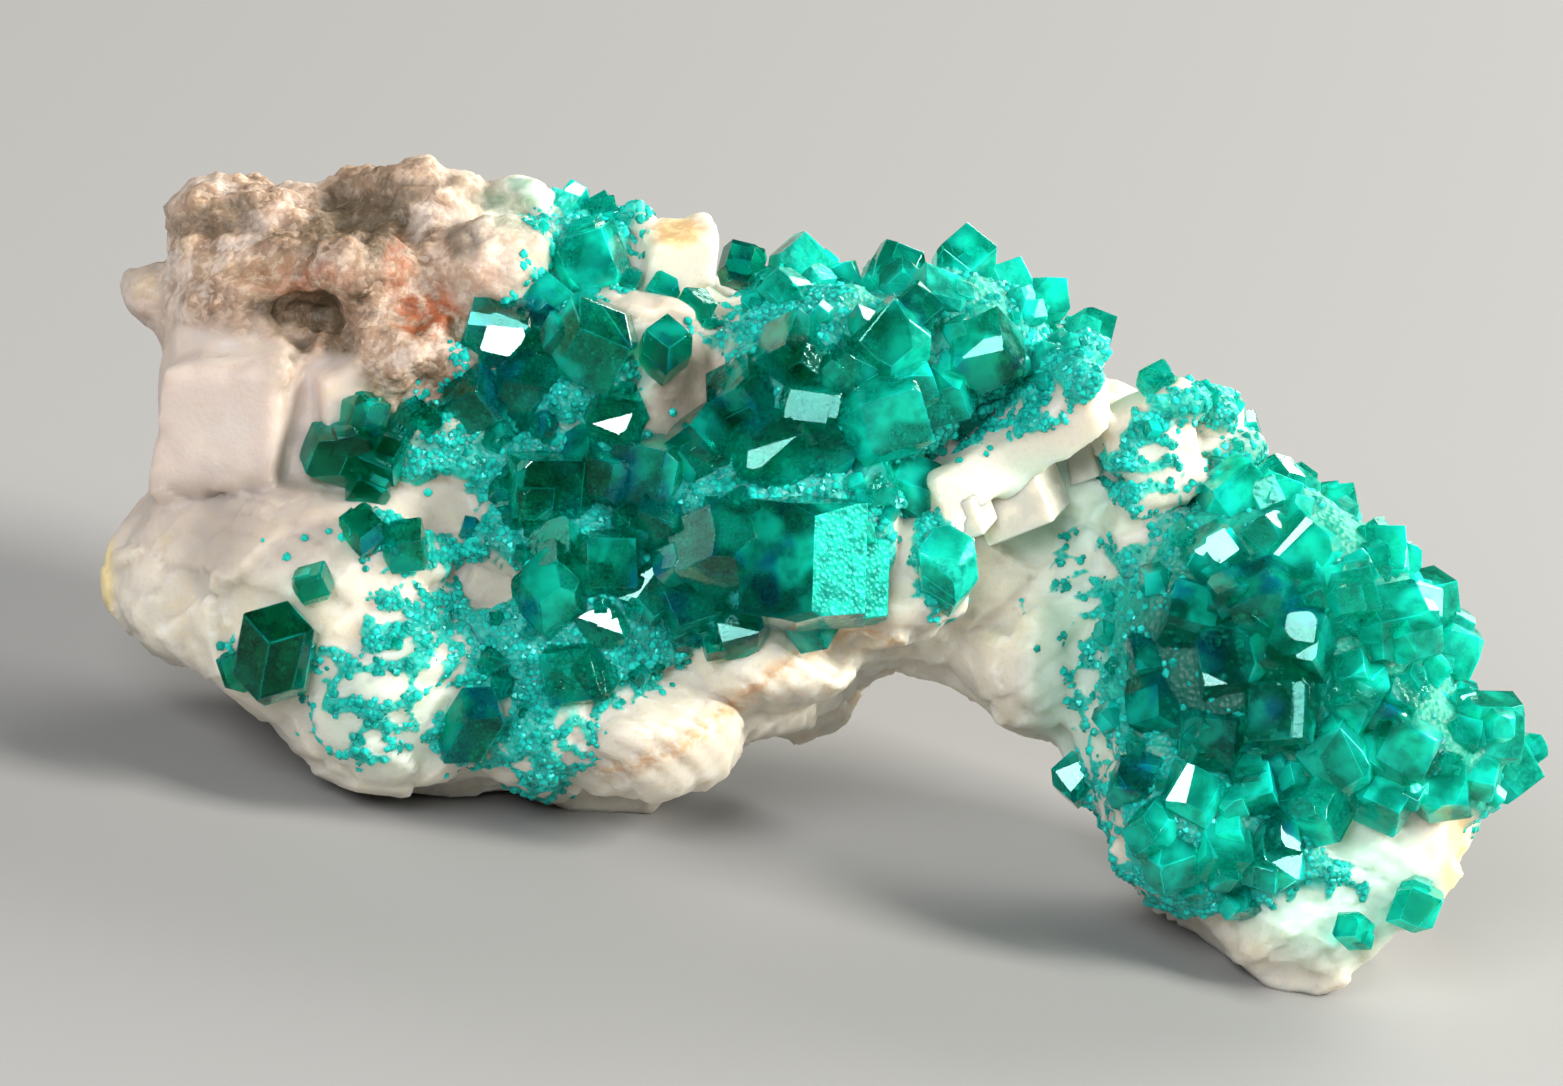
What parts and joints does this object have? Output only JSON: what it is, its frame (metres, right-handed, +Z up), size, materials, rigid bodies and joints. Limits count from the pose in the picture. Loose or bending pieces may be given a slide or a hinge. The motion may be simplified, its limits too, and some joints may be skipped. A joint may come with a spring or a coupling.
{
  "type": "dioptase and calcite mineral specimen",
  "caption": "Mineral specimen: an arch of pale calcite with brown host rock, covered in emerald-green dioptase crystals. It stands on its own feet as a display piece.",
  "frame": {"origin": "middle of the specimen's footprint, on the surface it stands on", "axes": "+Z up, +X along the specimen from its brown left end to its right foot, -Y towards the face that carries the crystals"},
  "size_m": [0.0504, 0.0218, 0.0212],
  "materials": {
    "calcite": "satin",
    "dioptase": "polished"
  },
  "bodies": {
    "root": {"calcite_matrix": "calcite", "dioptase_top_knot": "dioptase", "dioptase_top_knot_2": "dioptase", "dioptase_pointed_single": "dioptase", "dioptase_left_cluster": "dioptase", "dioptase_left_low_pair": "dioptase", "dioptase_left_small_single": "dioptase", "dioptase_left_large_single": "dioptase", "dioptase_bottom_single": "dioptase", "dioptase_centre": "dioptase", "dioptase_centre_2": "dioptase", "dioptase_centre_3": "dioptase", "dioptase_ledge_single": "dioptase", "dioptase_ridge_left": "dioptase", "dioptase_ridge_right": "dioptase", "dioptase_ridge_right_2": "dioptase", "dioptase_ridge_right_3": "dioptase", "dioptase_ridge_right_4": "dioptase", "dioptase_far_ridge": "dioptase", "dioptase_far_ridge_2": "dioptase", "dioptase_right_foot": "dioptase", "dioptase_right_foot_2": "dioptase", "dioptase_right_foot_3": "dioptase", "dioptase_right_foot_4": "dioptase", "dioptase_right_foot_5": "dioptase", "dioptase_right_foot_6": "dioptase", "dioptase_right_foot_7": "dioptase", "dioptase_right_low_single": "dioptase", "dioptase_right_bottom_single": "dioptase", "dioptase_arch_edge_single": "dioptase", "dioptase_back_ridge": "dioptase", "dioptase_back_ridge_2": "dioptase", "dioptase_back_ridge_3": "dioptase", "dioptase_back_left": "dioptase", "dioptase_back_foot": "dioptase"}
  },
  "joints": []
}
